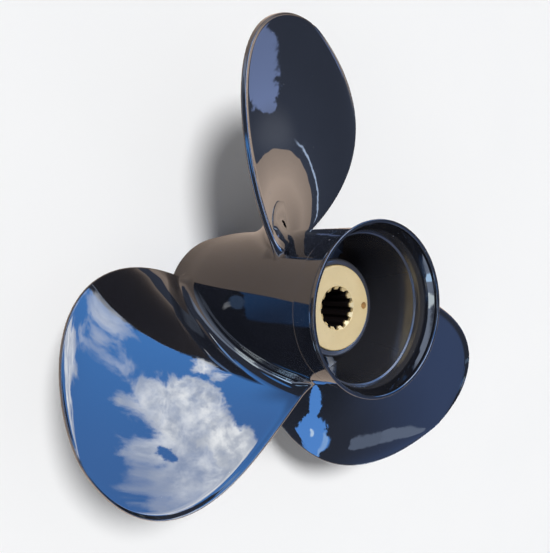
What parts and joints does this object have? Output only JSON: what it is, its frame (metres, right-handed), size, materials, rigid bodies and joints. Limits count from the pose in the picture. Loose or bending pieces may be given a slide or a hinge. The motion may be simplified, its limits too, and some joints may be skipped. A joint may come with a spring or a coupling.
{
  "type": "boat propeller",
  "caption": "Right-hand bladed outboard propeller with through-hub exhaust barrel, flared aft ring, splined brass sleeve and rubber cushion.",
  "frame": {"origin": "on the shaft axis at the barrel's forward face", "axes": "+Z along the shaft axis towards the aft end, +Y along the reference line of the first blade, +X to the right of that blade as seen from aft"},
  "size_m": [0.2653, 0.2477, 0.1356],
  "materials": {
    "black_paint": "gloss",
    "brass": "satin",
    "black_rubber": "matte"
  },
  "bodies": {
    "drive_sleeve": {"splined_sleeve": "brass", "rubber_cushion": "black_rubber"},
    "casting": {"outer_barrel": "black_paint", "aft_ring": "black_paint", "inner_hub": "black_paint", "rib_1": "black_paint", "rib_2": "black_paint", "rib_3": "black_paint", "blade_1": "black_paint", "blade_2": "black_paint", "blade_3": "black_paint"}
  },
  "joints": [
    {"name": "cushion_twist", "type": "hinge", "parent": "drive_sleeve", "child": "casting", "pos_m": [0, 0, 0.055], "axis": [0, 0, 1], "range_deg": [-12, 12], "stiffness_Nm_per_rad": 700}
  ]
}
